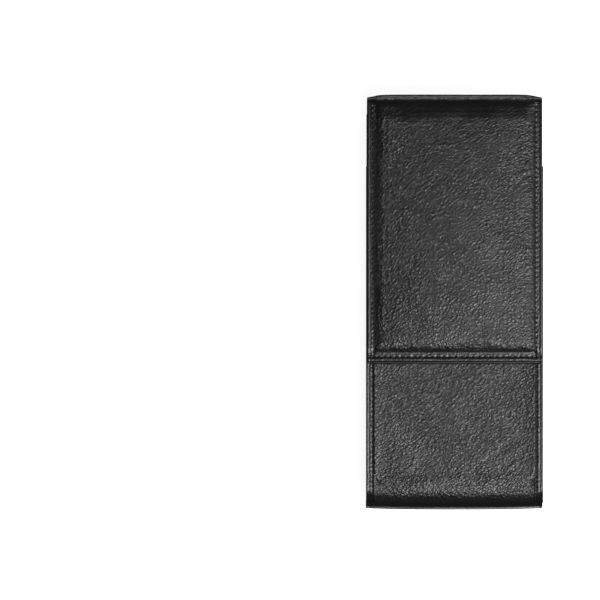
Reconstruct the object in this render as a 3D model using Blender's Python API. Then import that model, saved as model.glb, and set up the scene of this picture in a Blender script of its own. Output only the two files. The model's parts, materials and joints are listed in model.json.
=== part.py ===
"""Leather pen case with a padded fold-over flap, closed and lying on its back.

The case is a flat box of leather over thin boards. Its back panel, spine and flap are one run of leather
that folds twice round the top end: from the back up into the spine, and from the spine forward into the
flap. The pocket's front runs from its mouth down the front and round the bottom end. Two channel-shaped
gussets join it to the back, and two dividers part the pen channels inside.

Frame: origin under the middle of the case, +X to its right, +Y towards the spine, +Z out of the front face.
"""

import math

import bmesh
import bpy
from mathutils import Vector

MM = 0.001

# Driving dimensions
LENGTH = 161.0 * MM  # bottom end to the outside of the spine
WIDTH = 69.0 * MM  # across the sewn rims of the pocket
TOP_WIDTH = 68.2 * MM  # across the flap, the spine and the back
FLAP_LENGTH = 103.9 * MM  # outside of the spine to the flap's free edge
MOUTH_SETBACK = 27.6 * MM  # outside of the spine to the pocket's mouth
PEN_DEPTH = 14.6 * MM  # clear depth of the pen channels
CHANNELS = 3

# Materials' thicknesses, and the clearance between two layers
LEATHER = 1.0 * MM
LINING = 0.5 * MM
BOARD = 0.6 * MM
FOAM = 1.0 * MM
GUSSET = 0.8 * MM
DIVIDER = 0.8 * MM
THREAD = 0.3 * MM
GAP = 0.2 * MM
THREAD_GAP = 0.1 * MM
FLAP_CLEARANCE = 0.5 * MM  # front of the pocket to the flap's lining

# Rims, steps and folds
RISE = LEATHER * 0.8  # how far a boarded panel stands out from its sewn rim
RIM = 3.0 * MM  # rim of the pocket and the back, outside the step up to the panel
STEP = 1.0 * MM  # width of that step
FLAP_MARGIN = 2.8 * MM  # flat stitched margin round the flap's pad
FLAP_SLOPE = 3.3 * MM  # width of the slope from the margin up to the pad
BOTTOM_ROLL = 5.0 * MM  # outer radius where the front turns down the bottom end
BACK_FOLD = 3.5 * MM  # outer radius where the back turns up into the spine
FLAP_FOLD = 3.0 * MM  # outer radius where the spine turns forward into the flap
FOLD_PARTING = 0.15 * MM  # half the gap where two runs of leather part at a fold
FOLD_STEPS = 12  # facets round each half of a fold
CORNER_ROUND = 1.5 * MM  # rounding of the flap's and the back's free corners
SEAM_INSET = 2.6 * MM  # side edges of the pocket and the flap to their stitch lines
BACK_SEAM_INSET = 2.2 * MM
EDGE_SEAM_INSET = 2.1 * MM  # free edge of the flap to its stitch line
MOUTH_SEAM_INSET = 3.6 * MM
MAGNET_RADIUS, MAGNET_OFFSET = 4.0 * MM, 18.0 * MM
KEEPER_RADIUS = 5.0 * MM
MOUTH_TURN = 1.2 * MM  # outer radius where the front's leather turns down over the mouth's edge
FACING_WIDTH = 6.5 * MM  # strip of leather inside the mouth
BOTTOM_FOOT_TURN = 0.8 * MM  # radius where the bottom end turns out onto the back's rim

# Heights of the layers, from the back face up
Z_BACK_BOARD = LEATHER + GAP
Z_BACK_LINING = Z_BACK_BOARD + BOARD + GAP
Z_FLOOR = Z_BACK_LINING + LINING
Z_CEILING = Z_FLOOR + PEN_DEPTH
Z_POCKET_BOARD = Z_CEILING + LINING + GAP
Z_POCKET_FRONT = Z_POCKET_BOARD + BOARD + GAP + LEATHER
Z_POCKET_RIM = Z_POCKET_FRONT - RISE
Z_FLAP_LINING = Z_POCKET_FRONT + FLAP_CLEARANCE
Z_FLAP_BOARD = Z_FLAP_LINING + LINING + GAP
Z_FLAP_MARGIN = Z_FLAP_BOARD + LEATHER
Z_FOAM = Z_FLAP_BOARD + BOARD + GAP
PAD_RISE = Z_FOAM + FOAM + GAP - Z_FLAP_BOARD
Z_BACK_RIM = RISE

# Places along the case
Y_TOP = LENGTH / 2
Y_BOTTOM = -LENGTH / 2
Y_FLAP_EDGE = Y_TOP - FLAP_LENGTH
Y_MOUTH = Y_TOP - MOUTH_SETBACK
Y_MOUTH_LAYERS = Y_MOUTH - LEATHER - GAP  # where the layers behind the mouth's turned edge end
Z_LIP = Z_CEILING - GAP - LINING  # lower end of the mouth's turned edge, level with the facing
SEAM_FLANGE = 1.2 * MM  # the front's foot on the back's rim, at the bottom end
Y_BOTTOM_WALL = Y_BOTTOM + SEAM_FLANGE
ROLL_CENTRE = Vector((Y_BOTTOM_WALL + BOTTOM_ROLL, Z_POCKET_FRONT - BOTTOM_ROLL))

# Centres of the two folds, and the hinge lines on the outer leather half way round each fold
BACK_FOLD_CENTRE = Vector((0, Y_TOP - BACK_FOLD, BACK_FOLD))
FLAP_FOLD_CENTRE = Vector((0, Y_TOP - FLAP_FOLD, Z_FLAP_MARGIN + RISE - FLAP_FOLD))
HALF_TURN = math.radians(45)
BACK_HINGE = BACK_FOLD_CENTRE + BACK_FOLD * Vector((0, math.cos(HALF_TURN), -math.sin(HALF_TURN)))
FLAP_HINGE = FLAP_FOLD_CENTRE + FLAP_FOLD * Vector((0, math.cos(HALF_TURN), math.sin(HALF_TURN)))

# Inside widths
WEB_OUTSIDE = WIDTH / 2 - RIM - 0.5 * MM
WEB_INSIDE = WEB_OUTSIDE - GUSSET
INSIDE = WEB_INSIDE - GAP
CHANNEL = (2 * INSIDE - (CHANNELS - 1) * DIVIDER) / CHANNELS

COLOURS = {
    "nappa": ((0.018, 0.018, 0.019), 0.45, 0.0),
    "lining": ((0.035, 0.034, 0.034), 0.9, 0.0),
    "board": ((0.23, 0.17, 0.11), 0.85, 0.0),
    "foam": ((0.10, 0.10, 0.10), 0.95, 0.0),
    "thread": ((0.012, 0.012, 0.013), 0.6, 0.0),
    "steel": ((0.55, 0.55, 0.56), 0.35, 1.0),
}


def material(slot):
    """The Principled material of one slot, made once."""
    found = bpy.data.materials.get(slot)
    if found:
        return found
    colour, roughness, metallic = COLOURS[slot]
    made = bpy.data.materials.new(slot)
    made.use_nodes = True
    shader = made.node_tree.nodes["Principled BSDF"]
    shader.inputs["Base Color"].default_value = (*colour, 1.0)
    shader.inputs["Roughness"].default_value = roughness
    shader.inputs["Metallic"].default_value = metallic
    return made


def hinge_empty(name, place, parent=None):
    """An empty on a fold line, which carries the pieces that turn about it."""
    empty = bpy.data.objects.new(name, None)
    bpy.context.scene.collection.objects.link(empty)
    empty.parent = parent
    empty.location = place - (parent.matrix_world.translation if parent else Vector())
    bpy.context.view_layer.update()
    return empty


def piece(name, bm, slot, place, hinge=None, smooth=None):
    """Turns a bmesh into a named object, with its origin set at its place, and hangs it on its hinge."""
    mesh = bpy.data.meshes.new(name)
    bm.to_mesh(mesh)
    bm.free()
    mesh.materials.append(material(slot))
    if smooth is not None:
        mesh.shade_smooth()
        mesh.set_sharp_from_angle(angle=math.radians(smooth))
    made = bpy.data.objects.new(name, mesh)
    bpy.context.scene.collection.objects.link(made)
    made.parent = hinge
    made.location = place - (hinge.matrix_world.translation if hinge else Vector())
    return made


def slab(name, low, high, slot, hinge=None):
    """A flat board or strip between two corners."""
    low, high = Vector(low), Vector(high)
    bm = bmesh.new()
    bmesh.ops.create_cube(bm, size=1.0)
    bmesh.ops.scale(bm, vec=high - low, verts=bm.verts)
    return piece(name, bm, slot, (low + high) / 2, hinge)


def disc(name, centre, radius, height, slot, hinge=None):
    """A thin round plate about its centre."""
    bm = bmesh.new()
    bmesh.ops.create_cone(bm, cap_ends=True, segments=32, radius1=radius, radius2=radius, depth=height)
    return piece(name, bm, slot, centre, hinge, smooth=40)


class Run:
    """The outer line of a run of leather in the YZ plane, built up from straight and curved stretches.

    Each station holds its place, its outward normal, and how far the middle stands out from the rims there.
    """

    def __init__(self, y, z, heading, rise):
        self.at = Vector((y, z))
        self.heading = math.radians(heading)  # 0 is +Y and 90 is +Z
        self.stations = []
        self.mark(rise)

    def mark(self, rise):
        normal = Vector((math.sin(self.heading), -math.cos(self.heading)))
        self.stations.append((self.at.copy(), normal, rise))

    def line(self, length, rise):
        self.at += length * Vector((math.cos(self.heading), math.sin(self.heading)))
        self.mark(rise)
        return self

    def turn(self, radius, degrees, rise, steps):
        """Turns left by positive degrees. The outer face is on the right, so a left turn is convex."""
        sign = math.copysign(1, degrees)
        left = Vector((-math.sin(self.heading), math.cos(self.heading))) * sign
        centre = self.at + left * radius
        step = math.radians(degrees) / steps
        for _ in range(steps):
            self.heading += step
            left = Vector((-math.sin(self.heading), math.cos(self.heading))) * sign
            self.at = centre - left * radius
            self.mark(rise)
        return self


def columns(half_width, rim, step):
    """Places across a skin, each with its share of the rise: the rims stay low and the middle stands out."""
    return [
        (-half_width, 0.0),
        (rim - half_width, 0.0),
        (rim + step - half_width, 1.0),
        (half_width - rim - step, 1.0),
        (half_width - rim, 0.0),
        (half_width, 0.0),
    ]


def plain_columns(half_width):
    return [(-half_width, 0.0), (half_width, 0.0)]


def skin(name, run, across, thickness, slot, hinge=None, round_ends=()):
    """A sheet that follows a run, thickened inwards. round_ends names the run's ends with round corners."""
    bm = bmesh.new()
    rows = []
    start = run.stations[0][0]
    for place, normal, rise in run.stations:
        row = []
        for x, share in across:
            at = place - start + normal * (rise * share)
            row.append(bm.verts.new((x, at.x, at.y)))
        rows.append(row)
    for lower, upper in zip(rows, rows[1:]):
        for i in range(len(across) - 1):
            bm.faces.new((lower[i], upper[i], upper[i + 1], lower[i + 1]))
    bm.normal_update()
    corners = [rows[end][side] for end in round_ends for side in (0, -1)]
    if corners:
        bmesh.ops.bevel(bm, geom=corners, offset=CORNER_ROUND, segments=4, profile=0.5, affect="VERTICES")
    made = piece(name, bm, slot, Vector((0, start.x, start.y)), hinge, smooth=30)
    wall = made.modifiers.new("thickness", "SOLIDIFY")
    wall.thickness = thickness
    wall.offset = -1
    wall.use_even_offset = True
    return made


def parted(radius, degrees=45):
    """The turn of a fold that stops just short of the hinge line, where the next run starts."""
    return degrees - math.degrees(FOLD_PARTING / radius)


def drill(board, name, centre, radius):
    """A round hole down through a board."""
    cutter = disc(name, centre, radius, 6 * BOARD, "steel")
    cutter.hide_render = True
    cutter.display_type = "WIRE"
    hole = board.modifiers.new(name, "BOOLEAN")
    hole.operation = "DIFFERENCE"
    hole.object = cutter


def thread(name, start, end, hinge=None):
    """One straight run of sewing thread, lying on the leather between two points."""
    start, end = Vector(start), Vector(end)
    half = Vector((THREAD, THREAD, 0)) * 0.6
    low = Vector(map(min, start, end)) - half
    high = Vector(map(max, start, end)) + half + Vector((0, 0, THREAD))
    return slab(name, low, high, "thread", hinge)


# --- The back panel -------------------------------------------------------------------------------


def back_panel():
    """Outer leather, board and lining of the back. The leather curls up to the hinge at the back fold."""
    rim_radius = BACK_FOLD - RISE
    flat_end = BACK_FOLD_CENTRE.y
    run = Run(Y_BOTTOM, Z_BACK_RIM, heading=0, rise=0)
    run.line(RIM, 0)
    run.line(STEP, RISE)
    run.line(flat_end - run.at.x, RISE)
    run.turn(rim_radius, parted(BACK_FOLD), RISE, FOLD_STEPS)
    skin("back_leather", run, columns(TOP_WIDTH / 2, RIM, STEP), LEATHER, "nappa", round_ends=(0,))

    board_start = Y_BOTTOM + RIM + STEP + GAP
    board_end = flat_end - GAP
    board_top = Z_BACK_BOARD + BOARD
    slab("back_board", (-INSIDE, board_start, Z_BACK_BOARD), (INSIDE, board_end, board_top), "board")

    lining_start = Y_BOTTOM_WALL + LEATHER + 3 * GAP
    lining = Run(lining_start, Z_BACK_LINING, heading=0, rise=0)
    lining.line(flat_end - lining_start, 0)
    lining_radius = BACK_FOLD_CENTRE.z - Z_BACK_LINING
    lining.turn(lining_radius, parted(lining_radius), 0, FOLD_STEPS // 2)
    skin("back_lining", lining, plain_columns(INSIDE), LINING, "lining")


# --- The pocket -----------------------------------------------------------------------------------


def pocket_front():
    """Leather, boards and lining of the pocket's front and bottom end, and the facing inside its mouth."""
    rim_roll = BOTTOM_ROLL - RISE
    roll_y, roll_z = ROLL_CENTRE
    flange_top = Z_BACK_RIM + LEATHER + GAP + LEATHER
    run = Run(Y_MOUTH, Z_LIP, heading=90, rise=0)
    run.line(Z_POCKET_RIM - MOUTH_TURN - Z_LIP, 0)
    run.turn(MOUTH_TURN, 90, 0, steps=6)
    run.line(STEP, RISE)
    run.line(run.at.x - roll_y, RISE)
    run.turn(rim_roll, 90, RISE, steps=8)
    run.line(roll_z - flange_top - BOTTOM_FOOT_TURN - STEP, RISE)
    run.line(STEP, 0)
    run.turn(BOTTOM_FOOT_TURN, -90, 0, steps=3)
    run.line(SEAM_FLANGE, 0)
    skin("pocket_leather", run, columns(WIDTH / 2, RIM, STEP), LEATHER, "nappa")

    board_top = Z_POCKET_BOARD + BOARD
    board_end = Y_MOUTH - MOUTH_TURN - STEP - GAP
    front = slab("pocket_board", (-INSIDE, roll_y, Z_POCKET_BOARD), (INSIDE, board_end, board_top), "board")
    board_face = Y_BOTTOM_WALL + LEATHER + GAP
    slab(
        "bottom_board",
        (-INSIDE, board_face, flange_top + BOTTOM_FOOT_TURN + STEP + 3 * GAP),
        (INSIDE, board_face + BOARD, roll_z - GAP),
        "board",
    )

    lining_z = Z_CEILING + LINING
    lining_roll = lining_z - roll_z
    lining = Run(Y_MOUTH_LAYERS, lining_z, heading=180, rise=0)
    lining.line(Y_MOUTH_LAYERS - roll_y, 0)
    lining.turn(lining_roll, 90, 0, steps=5)
    lining.line(roll_z - Z_FLOOR - GAP, 0)
    skin("pocket_lining", lining, plain_columns(INSIDE), LINING, "lining")

    slab(
        "mouth_facing",
        (GAP - INSIDE, Y_MOUTH_LAYERS - FACING_WIDTH, Z_LIP),
        (INSIDE - GAP, Y_MOUTH_LAYERS, Z_LIP + LINING),
        "nappa",
    )
    for side, word in ((-1, "left"), (1, "right")):
        middle = Vector((side * MAGNET_OFFSET, magnet_y(), Z_POCKET_BOARD + BOARD / 2))
        drill(front, f"{word}_keeper_hole", middle, KEEPER_RADIUS + GAP)
        disc(f"{word}_keeper_plate", middle, KEEPER_RADIUS, BOARD, "steel")


def gusset_outline(inset):
    """The gusset's edge from the mouth round the bottom end and up the back, moved in by inset.

    The last point is where the web's open end turns from the mouth's edge onto its slant.
    """
    front = Z_POCKET_RIM - LEATHER - GAP - inset
    back = Z_BACK_RIM + LEATHER + GAP + inset
    bottom = Y_BOTTOM_WALL + RISE + LEATHER + GAP + inset
    corner = 3.0 * MM - inset
    top_back = BACK_FOLD_CENTRE.y - 3.0 * MM
    slant = (top_back - Y_MOUTH_LAYERS) / (Z_LIP - GAP - back + inset)
    points = [Vector((Y_MOUTH_LAYERS, front))]
    for i in range(7):
        angle = math.radians(90 + 15 * i)
        centre = Vector((bottom + corner, front - corner))
        points.append(centre + corner * Vector((math.cos(angle), math.sin(angle))))
    points.append(Vector((bottom, back)))
    points.append(Vector((top_back - slant * inset, back)))
    points.append(Vector((Y_MOUTH_LAYERS, Z_LIP - GAP)))
    return points


def gusset(name, side):
    """A side wall with a flange along its front, bottom and back edges: a channel open to the outside."""
    bm = bmesh.new()
    place = Vector((side * WEB_INSIDE, Y_BOTTOM_WALL, Z_BACK_RIM))
    reach = WIDTH / 2 - GAP

    def outline(x, inset):
        return [bm.verts.new(Vector((side * x, p.x, p.y)) - place) for p in gusset_outline(inset)]

    # Round the channel's section: from the web's inner face out along the flange, and back to its outer face
    section = [
        outline(WEB_INSIDE, 0),
        outline(reach, 0),
        outline(reach, GUSSET),
        outline(WEB_OUTSIDE, GUSSET),
    ]
    web_inner, web_outer = section[0], section[-1]
    for line in section[1:-1]:
        bm.verts.remove(line.pop())
    for near, far in zip(section, section[1:]):
        for i in range(len(section[1]) - 1):
            bm.faces.new((near[i], near[i + 1], far[i + 1], far[i]))
    bm.faces.new(web_inner)
    bm.faces.new(web_outer)
    bm.faces.new((web_inner[0], web_outer[0], web_outer[-1], web_inner[-1]))
    bm.faces.new((web_inner[-1], web_outer[-1], web_outer[-2], web_inner[-2]))
    last = len(section[1]) - 1
    bm.faces.new([line[0] for line in section])
    bm.faces.new([line[last] for line in section])
    bmesh.ops.recalc_face_normals(bm, faces=bm.faces)
    return piece(name, bm, "nappa", place)


def divider(name, x):
    """A stiff wall between two channels, rounded at the bottom end like the lining it meets."""
    radius = Z_CEILING - GAP - ROLL_CENTRE.y
    low = Z_FLOOR + GAP - ROLL_CENTRE.y
    top = Y_MOUTH_LAYERS - FACING_WIDTH - 5 * GAP - ROLL_CENTRE.x
    outline = [(top, low), (top, radius)]
    for i in range(7):
        angle = math.radians(90 + 15 * i)
        outline.append((radius * math.cos(angle), radius * math.sin(angle)))
    outline.append((-radius, low))
    bm = bmesh.new()
    face = bm.faces.new([bm.verts.new((0, y, z)) for y, z in outline])
    far = bmesh.ops.extrude_face_region(bm, geom=[face], use_keep_orig=True)["geom"]
    moved = [v for v in far if isinstance(v, bmesh.types.BMVert)]
    bmesh.ops.translate(bm, vec=(DIVIDER, 0, 0), verts=moved)
    bmesh.ops.recalc_face_normals(bm, faces=bm.faces)
    return piece(name, bm, "lining", Vector((x, ROLL_CENTRE.x, ROLL_CENTRE.y)))


def pocket_inside():
    """The two gussets and the dividers between the pen channels."""
    gusset("left_gusset", -1)
    gusset("right_gusset", 1)
    for i, name in enumerate(("left_divider", "right_divider")):
        divider(name, -INSIDE + (i + 1) * CHANNEL + i * DIVIDER)


# --- The spine ------------------------------------------------------------------------------------


def spine(hinge):
    """Leather, board and lining of the spine, with half of each fold at its two edges."""
    run = Run(BACK_FOLD_CENTRE.y, Z_BACK_RIM, heading=0, rise=RISE)
    start = 45 + math.degrees(FOLD_PARTING / BACK_FOLD)
    run.turn(BACK_FOLD - RISE, start, RISE, steps=1)
    run.stations = run.stations[1:]
    run.turn(BACK_FOLD - RISE, 90 - start, RISE, FOLD_STEPS)
    run.line(FLAP_FOLD_CENTRE.z - BACK_FOLD_CENTRE.z, RISE)
    run.turn(FLAP_FOLD - RISE, parted(FLAP_FOLD), RISE, FOLD_STEPS)
    skin("spine_leather", run, columns(TOP_WIDTH / 2, FLAP_MARGIN, FLAP_SLOPE), LEATHER, "nappa", hinge)

    face = Y_TOP - LEATHER - GAP
    half = TOP_WIDTH / 2 - FLAP_MARGIN - FLAP_SLOPE - GAP
    slab(
        "spine_board",
        (-half, face - BOARD, BACK_FOLD_CENTRE.z),
        (half, face, FLAP_FOLD_CENTRE.z),
        "board",
        hinge,
    )

    lining_radius = BACK_FOLD_CENTRE.z - Z_BACK_LINING
    lining = Run(BACK_FOLD_CENTRE.y, Z_BACK_LINING, heading=0, rise=0)
    start = 45 + math.degrees(FOLD_PARTING / lining_radius)
    lining.turn(lining_radius, start, 0, steps=1)
    lining.stations = lining.stations[1:]
    lining.turn(lining_radius, 90 - start, 0, FOLD_STEPS // 2)
    lining.line(FLAP_FOLD_CENTRE.z - BACK_FOLD_CENTRE.z, 0)
    top_radius = lining.at.x - FLAP_FOLD_CENTRE.y
    lining.turn(top_radius, parted(top_radius), 0, FOLD_STEPS // 2)
    skin("spine_lining", lining, plain_columns(TOP_WIDTH / 2 - GAP), LINING, "lining", hinge)


# --- The flap -------------------------------------------------------------------------------------


def magnet_y():
    """The line across the case where the flap's magnets meet the pocket's keeper plates."""
    return Y_FLAP_EDGE + FLAP_MARGIN + FLAP_SLOPE + 6.0 * MM


def flap(hinge):
    """Leather, foam, board and lining of the flap, and the magnets in its board."""
    fold_y = FLAP_FOLD_CENTRE.y
    start = 45 + math.degrees(FOLD_PARTING / FLAP_FOLD)
    run = Run(fold_y + FLAP_FOLD - RISE, FLAP_FOLD_CENTRE.z, heading=90, rise=RISE)
    run.turn(FLAP_FOLD - RISE, start, RISE, steps=1)
    run.stations = run.stations[1:]
    run.turn(FLAP_FOLD - RISE, 90 - start, RISE, FOLD_STEPS)
    run.line(FLAP_SLOPE, PAD_RISE)
    run.line(fold_y - FLAP_SLOPE * 2 - FLAP_MARGIN - Y_FLAP_EDGE, PAD_RISE)
    run.line(FLAP_SLOPE, 0)
    run.line(FLAP_MARGIN, 0)
    across = columns(TOP_WIDTH / 2, FLAP_MARGIN, FLAP_SLOPE)
    skin("flap_leather", run, across, LEATHER, "nappa", hinge, round_ends=(-1,))

    lining_outside = Z_FLAP_LINING + LINING
    radius = lining_outside - FLAP_FOLD_CENTRE.z
    lining = Run(fold_y + radius, FLAP_FOLD_CENTRE.z, heading=90, rise=0)
    start = 45 + math.degrees(FOLD_PARTING / radius)
    lining.turn(radius, start, 0, steps=1)
    lining.stations = lining.stations[1:]
    lining.turn(radius, 90 - start, 0, FOLD_STEPS // 2)
    lining.line(fold_y - Y_FLAP_EDGE - GAP, 0)
    skin("flap_lining", lining, plain_columns(TOP_WIDTH / 2 - GAP), LINING, "lining", hinge)

    # The board and the foam stand clear of the leather's inner slope on every side.
    slope_clear = 2.5 * MM
    board_half = TOP_WIDTH / 2 - FLAP_MARGIN - slope_clear
    board_low = Y_FLAP_EDGE + FLAP_MARGIN + slope_clear
    board_high = fold_y - 3.0 * MM
    board_top = Z_FLAP_BOARD + BOARD
    low_corner = (-board_half, board_low, Z_FLAP_BOARD)
    high_corner = (board_half, board_high, board_top)
    board = slab("flap_board", low_corner, high_corner, "board", hinge)
    foam_pad(board_half - 0.3 * MM, board_low + 0.3 * MM, fold_y - FLAP_SLOPE, hinge)
    for side, word in ((-1, "left"), (1, "right")):
        middle = Vector((side * MAGNET_OFFSET, magnet_y(), Z_FLAP_BOARD + BOARD / 2))
        drill(board, f"{word}_magnet_hole", middle, MAGNET_RADIUS + GAP)
        disc(f"{word}_magnet", middle, MAGNET_RADIUS, BOARD, "steel", hinge)


def foam_pad(half, low, high, hinge):
    """The foam under the flap's leather, with sides that slope like the leather over them."""
    bm = bmesh.new()
    bmesh.ops.create_cube(bm, size=1.0)
    bmesh.ops.scale(bm, vec=(2 * half, high - low, FOAM), verts=bm.verts)
    slope = FOAM * FLAP_SLOPE / PAD_RISE
    shrink = Vector((1 - slope / half, 1 - 2 * slope / (high - low), 1))
    bmesh.ops.scale(bm, vec=shrink, verts=[v for v in bm.verts if v.co.z > 0])
    piece("flap_pad", bm, "foam", Vector((0, (low + high) / 2, Z_FOAM + FOAM / 2)), hinge)


# --- The seams ------------------------------------------------------------------------------------


def seams(flap_hinge):
    """The runs of thread: down the sides of the pocket and the back, along the mouth and round the flap."""
    seam_end = Y_BOTTOM_WALL + BOTTOM_ROLL
    back_end = BACK_FOLD_CENTRE.y - GAP
    side_x = WIDTH / 2 - SEAM_INSET
    back_x = TOP_WIDTH / 2 - BACK_SEAM_INSET
    flap_x = TOP_WIDTH / 2 - SEAM_INSET
    on_rim = Z_POCKET_RIM + THREAD_GAP
    on_back = Z_BACK_RIM - THREAD_GAP - THREAD
    on_flap = Z_FLAP_MARGIN + THREAD_GAP
    edge = Y_FLAP_EDGE + EDGE_SEAM_INSET
    for side, word in ((-1, "left"), (1, "right")):
        x = side * side_x
        thread(f"{word}_front_seam", (x, seam_end, on_rim), (x, Y_MOUTH - MOUTH_TURN - GAP, on_rim))
        x = side * back_x
        thread(f"{word}_back_seam", (x, Y_BOTTOM + RIM, on_back), (x, back_end, on_back))
        x = side * flap_x
        start = (x, edge + 5 * GAP, on_flap)
        thread(f"{word}_flap_seam", start, (x, FLAP_FOLD_CENTRE.y, on_flap), flap_hinge)
    thread("flap_edge_seam", (-flap_x, edge, on_flap), (flap_x, edge, on_flap), flap_hinge)
    mouth_x = WIDTH / 2 - RIM - STEP - 2 * GAP
    mouth_y = Y_MOUTH - MOUTH_SEAM_INSET
    on_mouth = Z_POCKET_FRONT + THREAD_GAP
    thread("mouth_seam", (-mouth_x, mouth_y, on_mouth), (mouth_x, mouth_y, on_mouth))


def main():
    for old in list(bpy.data.objects):
        bpy.data.objects.remove(old)
    spine_hinge = hinge_empty("spine_hinge", BACK_HINGE)
    flap_hinge = hinge_empty("flap_hinge", FLAP_HINGE, parent=spine_hinge)
    back_panel()
    pocket_front()
    pocket_inside()
    spine(spine_hinge)
    flap(flap_hinge)
    seams(flap_hinge)


main()
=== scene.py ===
"""Looks of a black pebbled-leather pen case with a padded fold-over flap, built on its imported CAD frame.

The outer leather is two skins that meet half way up the spine, and a third for the pocket. Each is lofted
along the run that its leather follows, with the rims, steps, stitch lines and crown of the real case.
The frame is in metres. Lengths here are in millimetres until a mesh is made.
"""

import json
import math

import bmesh
import bpy
import numpy as np
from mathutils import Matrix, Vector, noise


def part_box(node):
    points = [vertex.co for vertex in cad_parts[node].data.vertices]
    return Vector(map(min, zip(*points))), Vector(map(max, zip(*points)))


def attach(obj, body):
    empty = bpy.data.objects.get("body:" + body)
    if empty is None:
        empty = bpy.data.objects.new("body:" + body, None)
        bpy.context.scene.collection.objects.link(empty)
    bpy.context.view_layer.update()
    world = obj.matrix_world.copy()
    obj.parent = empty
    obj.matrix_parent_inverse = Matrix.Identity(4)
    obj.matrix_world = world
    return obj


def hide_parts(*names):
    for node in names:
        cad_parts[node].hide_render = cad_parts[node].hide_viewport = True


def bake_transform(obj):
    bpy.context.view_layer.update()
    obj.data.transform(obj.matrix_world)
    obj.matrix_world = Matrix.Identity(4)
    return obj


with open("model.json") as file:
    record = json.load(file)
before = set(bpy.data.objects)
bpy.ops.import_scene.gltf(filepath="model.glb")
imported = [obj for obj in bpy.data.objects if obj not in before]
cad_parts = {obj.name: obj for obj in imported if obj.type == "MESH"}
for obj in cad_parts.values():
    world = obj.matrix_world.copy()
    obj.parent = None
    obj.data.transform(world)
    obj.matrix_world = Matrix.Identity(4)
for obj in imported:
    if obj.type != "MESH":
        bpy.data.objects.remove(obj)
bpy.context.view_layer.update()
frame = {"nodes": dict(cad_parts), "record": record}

MM = 0.001

# Thicknesses of the materials and the rounding of a cut leather edge
LEATHER = 1.0
LINING = 0.5
EDGE_ROUND = 0.32
INNER_ROUND = 0.2

# How the outer leather lies over the boards and the foam
RISE = 0.8  # a boarded panel stands out from its sewn rim
RIM = 2.7  # rim of the pocket and the back
PANEL_STEP = 0.42  # width of the pressed step from that rim up to the panel
PANEL_CORNER = 2.2
FLAP_MARGIN = 2.1
FLAP_END_MARGIN = 4.3
FLAP_OVERHANG = 0.7  # the leather reaches a little past the lining it is sewn to
FLAP_SLOPE = 4.3
END_SLOPE_MORE = 1.3  # the slope is longer at the flap's free end
FLAP_CORNER = 3.0
PAD_RISE = 2.0
TOP_SLOPE = 7.0  # from the end of the flap's fold to the top of its pad
TOP_LEAD = 1.8  # how much earlier, inside the fold, that climb starts
PAD_CROWN = 1.8  # the foam's swell in the middle of the flap
PAD_SLACK = 0.42  # how far below the CAD's flat pad its sides lie, so that the crown stays in the box
BACK_FOLD = 3.5
FLAP_FOLD = 3.0
BOTTOM_ROLL = 7.5
ROLL_SKIVE = 0.3  # how much thinner the leather is where it turns down over the bottom end
FOOT_TURN = 0.8
FOOT = 1.2
MOUTH_TURN = 1.2
BOTTOM_BOW = 0.55  # how much longer the case is along its middle than along its sides
TOP_BOW = 0.7
FOLD_SKIVE = 0.4  # how much thinner the leather is where it folds
MARGIN_DIP = 0.3
END_FALL = 0.5  # how far the pad sinks towards its free end
FREE_CORNER = 1.5  # rounding of the flap's and the back's free corners

# Seams
SIDE_SEAM = 2.6
BACK_SEAM = 2.2
EDGE_SEAM = 2.8
MOUTH_SEAM = 3.6
SIDE_PITCH = 1.95
EDGE_PITCH = 2.3
THREAD_RADIUS = 0.19
GROOVE_DEPTH = 0.12
GROOVE_WIDTH = 0.34
PIT_DEPTH = 0.42
PIT_RADIUS = 0.34
BEAD_HEIGHT = 0.1
BEAD_INSET = 0.62
BEAD_WIDTH = 0.26

# Grain
CELL = 0.98  # mean spacing of the pebbles
GRAIN_TURN = 36  # degrees from across the leather to the rows of pebbles
SMOOTH_LEATHER = 0.3  # roughness where the leather is smooth or its edge is painted
GRAIN_DEPTH = 0.15  # in the shading
PRESSED_DEPTH = 0.03  # the part of it that the mesh itself carries
PORE_DEPTH = 0.012
TWILL_RIBS = 0.3  # the lining's ribs come every millimetre
TWILL_WEFT = 0.5
TWILL_TURN = 52
MARGIN_GRAIN = 0.4  # share of the grain left where a sewn margin was pressed

# Mesh pitches
FINE = 0.2
COARSE = 0.42


# --- Places, from the CAD frame ---


def corners(node):
    """A CAD node's lowest and highest corners, in millimetres."""
    low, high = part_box(node)
    return low / MM, high / MM


FLAP_LOW, FLAP_HIGH = corners("flap_leather")
INNER_LOW, INNER_HIGH = corners("pocket_lining")
FLOOR_LOW, FLOOR_HIGH = corners("back_lining")
COVER_LOW, COVER_HIGH = corners("flap_lining")
POCKET_HIGH = corners("pocket_leather")[1]

POCKET_HALF = POCKET_HIGH.x
TOP_HALF = FLAP_HIGH.x
Y_TOP = corners("spine_leather")[1].y
Y_BOTTOM = corners("back_leather")[0].y
Y_MOUTH = POCKET_HIGH.y
Y_WALL = Y_BOTTOM + FOOT
Y_FLAP_EDGE = FLAP_LOW.y - FLAP_OVERHANG
Z_POCKET = POCKET_HIGH.z
Z_PAD = FLAP_HIGH.z
Z_MARGIN = Z_PAD - PAD_RISE
Z_LIP = corners("mouth_facing")[0].z
BACK_CENTRE = (Y_TOP - BACK_FOLD, BACK_FOLD)
FLAP_CENTRE = (Y_TOP - FLAP_FOLD, Z_MARGIN + RISE - FLAP_FOLD)
MID_SPINE = (BACK_CENTRE[1] + FLAP_CENTRE[1]) / 2


# --- Runs and skins ---


def ahead_of(heading):
    """The way that a heading points in the YZ plane: 0 is +Y and a quarter turn is +Z."""
    return np.stack((np.cos(heading), np.sin(heading)), axis=-1)


def left_of(heading):
    return np.stack((-np.sin(heading), np.cos(heading)), axis=-1)


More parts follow.
